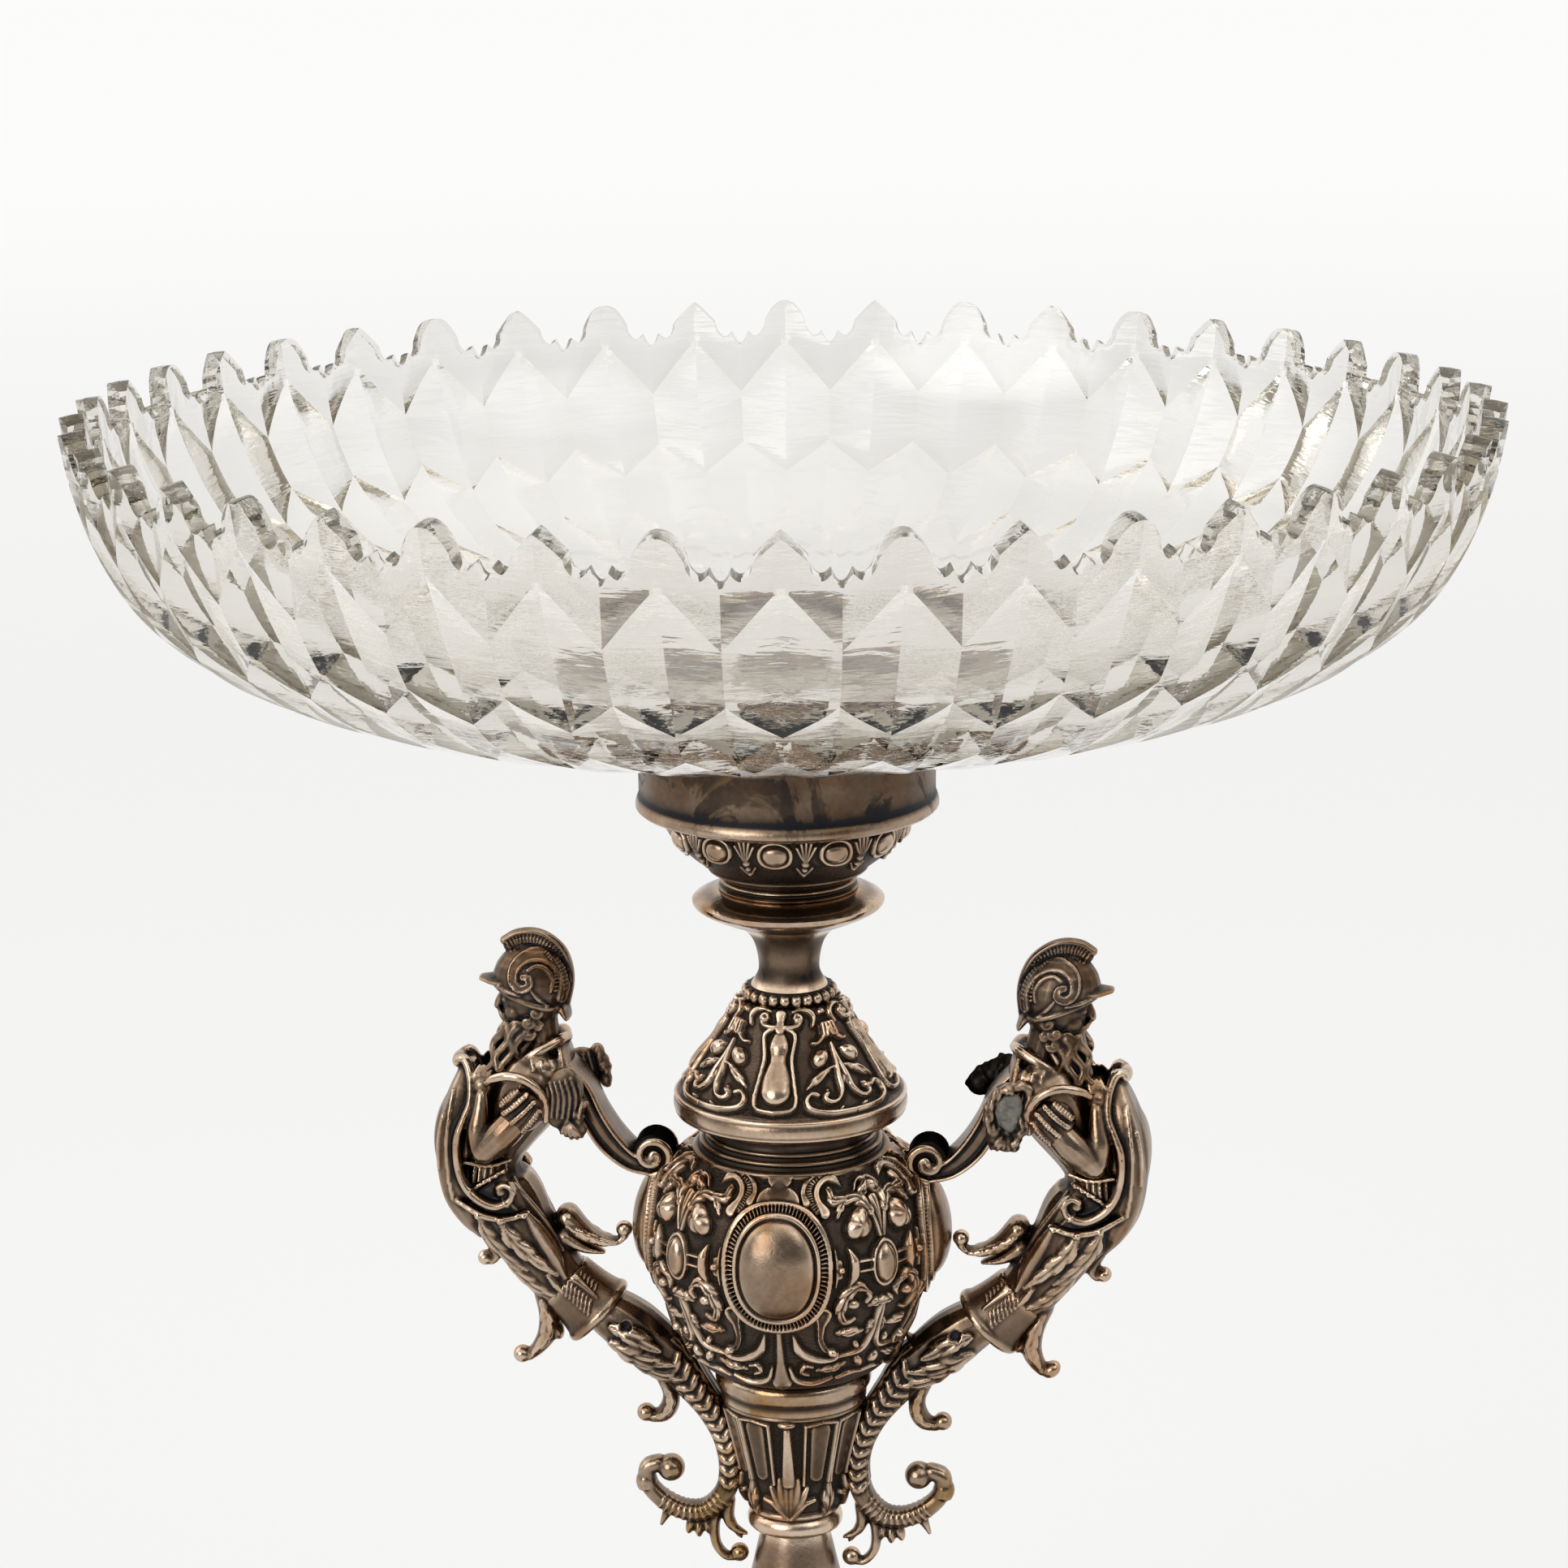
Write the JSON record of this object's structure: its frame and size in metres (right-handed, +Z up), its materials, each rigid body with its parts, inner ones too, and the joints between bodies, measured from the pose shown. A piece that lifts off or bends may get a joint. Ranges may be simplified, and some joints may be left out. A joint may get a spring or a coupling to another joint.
{
  "type": "presentation bowl",
  "caption": "Cut-glass bowl with a toothed rim on a tall oxidised silver stand: round foot, vase-shaped stem and two scrolled handles cast as helmeted, bearded figures.",
  "frame": {"origin": "on the table, under the middle of the round foot", "axes": "+Z up along the stem, +X through the right handle, +Y towards the back of the pictured view"},
  "size_m": [0.2848, 0.2848, 0.33],
  "materials": {
    "silver": "oxidised silver, dark in the recesses and rubbed bright on the high places",
    "dark_silver": "plain turned silver with blotchy tarnish",
    "gilt_silver": "turned silver with worn gold tint",
    "steel": "plain threaded steel, hidden inside",
    "cork": "cork ring under the glass plug",
    "glass": "wheel-cut clear crystal with a faint grey-green tint"
  },
  "bodies": {
    "stand": {"foot_rim": "silver", "foot_dome": "silver", "foot_collar": "silver", "stem_trumpet": "silver", "stem_torus": "silver", "fluted_stem": "silver", "vase_base_ring": "gilt_silver", "vase_body": "silver", "vase_neck_ring": "gilt_silver", "bell_hood": "silver", "beaded_ring": "silver", "neck_spool": "silver", "drip_disc": "silver", "cup_rings": "gilt_silver", "cabochon_cup": "silver", "bowl_collar": "dark_silver", "tie_rod": "steel", "foot_washer": "steel", "foot_nut": "steel", "head_nut": "steel", "left_figure": "silver", "left_scroll_arm": "silver", "left_cuff": "silver", "left_cuff_pin": "steel", "left_tail": "silver", "left_upper_screw": "steel", "left_upper_nut": "steel", "left_lower_screw": "steel", "left_lower_nut": "steel", "right_figure": "silver", "right_scroll_arm": "silver", "right_cuff": "silver", "right_cuff_pin": "steel", "right_tail": "silver", "right_upper_screw": "steel", "right_upper_nut": "steel", "right_lower_screw": "steel", "right_lower_nut": "steel"},
    "seat": {"seat_pad": "cork"},
    "bowl": {"glass_bowl": "glass"}
  },
  "joints": [
    {"name": "bowl_turn", "type": "hinge", "parent": "stand", "child": "seat", "pos_m": [0, 0, 0.25], "axis": [0, 0, 1], "continuous": true},
    {"name": "bowl_lift", "type": "slide", "parent": "seat", "child": "bowl", "axis": [0, 0, 1], "range_m": [0, 0.12]}
  ]
}
